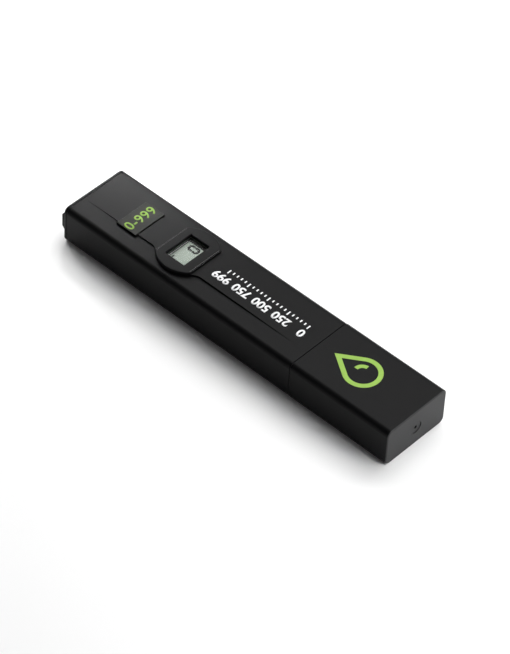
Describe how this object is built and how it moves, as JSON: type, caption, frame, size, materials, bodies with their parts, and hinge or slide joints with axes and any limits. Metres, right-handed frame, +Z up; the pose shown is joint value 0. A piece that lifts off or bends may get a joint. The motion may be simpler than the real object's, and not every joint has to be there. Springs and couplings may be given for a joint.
{
  "type": "tds meter pen",
  "caption": "Pocket dissolved-solids meter: slim black case with a round display bezel, slide switch, battery drawer and a push-on cap over the probe pins.",
  "frame": {"origin": "middle of the whole length and width, on the flat back face that the pen rests on", "axes": "+X along the pen towards the capped probe end, +Z up through the display, +Y across the pen"},
  "size_m": [0.1522, 0.0294, 0.017],
  "materials": {
    "case_plastic": "finely textured moulded black",
    "label_plate": "satin printed plate",
    "knob_plastic": "satin moulded black",
    "window": "clear",
    "display": "grey-green liquid crystal glass",
    "reflector": "matt foil",
    "elastomer": "matt",
    "frame_plastic": "moulded",
    "board": "solder mask",
    "chip": "moulded",
    "ceramic_parts": "ceramic",
    "trimmer_plastic": "moulded",
    "brass": "turned",
    "steel": "pressed and brushed",
    "cell_steel": "bright can",
    "probe_plastic": "satin moulded",
    "gasket": "matt"
  },
  "bodies": {
    "pen_body": {"body_shell": "case_plastic", "end_plate": "case_plastic", "label_plate": "label_plate", "window_lens": "window", "display_glass": "display", "display_reflector": "reflector", "connector_strip_1": "elastomer", "connector_strip_2": "elastomer", "display_frame": "frame_plastic", "circuit_board": "board", "controller_chip": "chip", "board_components": "ceramic_parts", "trimmer_body": "trimmer_plastic", "switch_body": "steel", "switch_terminals": "brass", "side_contact": "brass", "battery_spring": "brass", "probe_block": "probe_plastic", "nose_gasket": "gasket", "electrode_pin_1": "steel", "electrode_pin_2": "steel", "temperature_sensor": "steel"},
    "switch_knob": {"switch_knob": "knob_plastic"},
    "battery_drawer": {"battery_drawer": "case_plastic", "drawer_contact": "steel", "button_cell_1": "cell_steel", "button_cell_2": "cell_steel", "button_cell_3": "cell_steel", "button_cell_4": "cell_steel"},
    "trimmer_screw": {"trimmer_screw": "brass"},
    "protective_cap": {"protective_cap": "case_plastic"}
  },
  "joints": [
    {"name": "knob_slide", "type": "slide", "parent": "pen_body", "child": "switch_knob", "axis": [0, 1, 0], "range_m": [0, 0.0035]},
    {"name": "drawer_slide", "type": "slide", "parent": "pen_body", "child": "battery_drawer", "axis": [-1, 0, 0], "range_m": [0, 0.027]},
    {"name": "trimmer_turn", "type": "hinge", "parent": "pen_body", "child": "trimmer_screw", "pos_m": [-0.0019, 0.005, 0.0035], "axis": [0, 0, 1], "range_deg": [-130, 130]},
    {"name": "cap_slide", "type": "slide", "parent": "pen_body", "child": "protective_cap", "axis": [1, 0, 0], "range_m": [0, 0.046]}
  ]
}
